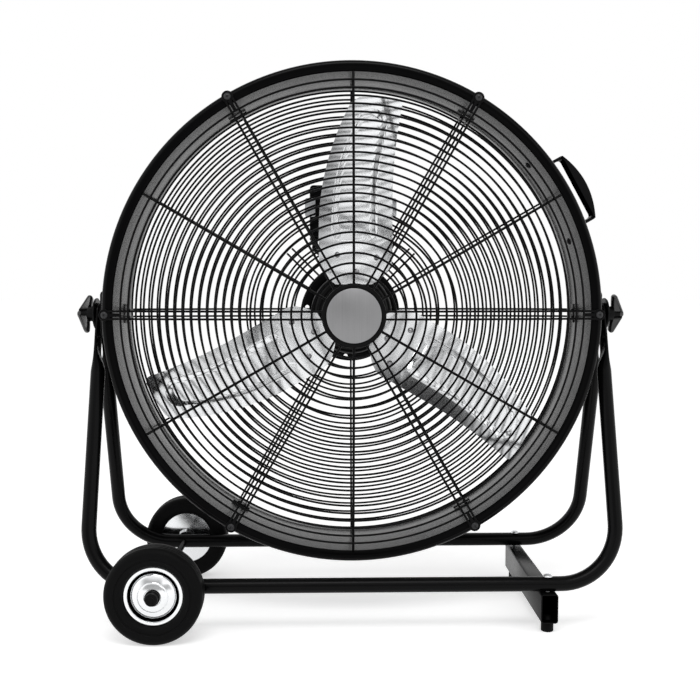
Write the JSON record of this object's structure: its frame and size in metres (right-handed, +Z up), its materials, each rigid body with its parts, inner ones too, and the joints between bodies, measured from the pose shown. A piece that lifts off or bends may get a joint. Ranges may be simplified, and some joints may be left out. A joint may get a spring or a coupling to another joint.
{
  "type": "drum fan",
  "caption": "Round steel drum fan between wire guards, tilting on a tube stand with wheels on one side and a foot bar on the other, metal blades and a rear control box.",
  "frame": {"origin": "on the floor, under the middle of the drum and midway between the front and rear wheel nuts", "axes": "+X to the foot bar's side, as the right side in a front view; +Y from the front guard to the back, along the fan's axis; +Z up"},
  "size_m": [0.744, 0.3206, 0.731],
  "materials": {
    "powder_coat_black": "black powder coat, satin gloss",
    "wire_black": "black powder-coated steel wire",
    "motor_black": "black enamel, semi-matt",
    "plastic_black": "moulded black plastic, fine texture",
    "rubber_black": "smooth dark rubber",
    "blade_aluminium": "rolled aluminium sheet, bright, fine scratches",
    "zinc_plate": "zinc plated",
    "screw_black": "blackened steel",
    "wheel_chrome": "bright plated",
    "badge_grey": "bare brushed grey disc"
  },
  "bodies": {
    "stand": {"front_frame": "powder_coat_black", "rear_frame": "powder_coat_black", "wheel_axle": "zinc_plate", "foot_bar": "powder_coat_black", "axle_nut_front": "plastic_black", "axle_nut_rear": "plastic_black", "rubber_foot_front": "rubber_black", "rubber_foot_rear": "rubber_black", "foot_bolt_front": "zinc_plate", "foot_bolt_rear": "zinc_plate", "pivot_washer_left": "powder_coat_black", "pivot_washer_right": "powder_coat_black"},
    "front_wheel": {"tyre_front": "rubber_black", "wheel_hub_front": "wheel_chrome"},
    "rear_wheel": {"tyre_rear": "rubber_black", "wheel_hub_rear": "wheel_chrome"},
    "knob_left": {"pivot_knob_left": "plastic_black"},
    "knob_right": {"pivot_knob_right": "plastic_black"},
    "drum": {"drum_shell": "powder_coat_black", "front_guard": "wire_black", "guard_hub_cap": "plastic_black", "hub_badge": "badge_grey", "rear_guard": "wire_black", "guard_screw_1": "screw_black", "guard_screw_2": "screw_black", "guard_screw_3": "screw_black", "guard_screw_4": "screw_black", "guard_screw_5": "screw_black", "guard_screw_6": "screw_black", "motor_plate": "motor_black", "motor_body": "motor_black", "motor_lead": "plastic_black", "carry_handle": "plastic_black", "handle_screw_1": "screw_black", "handle_screw_2": "screw_black", "control_box": "plastic_black", "control_box_cover": "plastic_black", "cable_gland": "plastic_black", "box_tab_left": "zinc_plate", "box_tab_right": "zinc_plate", "pivot_bracket_left": "powder_coat_black", "pivot_bracket_right": "powder_coat_black"},
    "rotor": {"blade_1": "blade_aluminium", "blade_2": "blade_aluminium", "blade_3": "blade_aluminium", "blade_spider": "motor_black", "motor_shaft": "zinc_plate", "shaft_nut": "zinc_plate"},
    "speed_dial": {"speed_knob": "plastic_black"}
  },
  "joints": [
    {"name": "drum_tilt", "type": "hinge", "parent": "stand", "child": "drum", "pos_m": [0, 0, 0.404], "axis": [1, 0, 0], "range_deg": [-90, 90]},
    {"name": "rotor_spin", "type": "hinge", "parent": "drum", "child": "rotor", "pos_m": [0, -0.022, 0.404], "axis": [0, 1, 0], "continuous": true},
    {"name": "front_wheel_spin", "type": "hinge", "parent": "stand", "child": "front_wheel", "pos_m": [-0.248, -0.135, 0.061], "axis": [0, 1, 0], "continuous": true},
    {"name": "rear_wheel_spin", "type": "hinge", "parent": "stand", "child": "rear_wheel", "pos_m": [-0.248, 0.135, 0.061], "axis": [0, 1, 0], "continuous": true},
    {"name": "knob_left_turn", "type": "hinge", "parent": "stand", "child": "knob_left", "pos_m": [-0.36, 0, 0.404], "axis": [-1, 0, 0], "range_deg": [0, 360]},
    {"name": "knob_right_turn", "type": "hinge", "parent": "stand", "child": "knob_right", "pos_m": [0.36, 0, 0.404], "axis": [1, 0, 0], "range_deg": [0, 360]},
    {"name": "speed_dial_turn", "type": "hinge", "parent": "drum", "child": "speed_dial", "pos_m": [0, 0.13, 0.55], "axis": [0, -1, 0], "range_deg": [0, 135]}
  ]
}
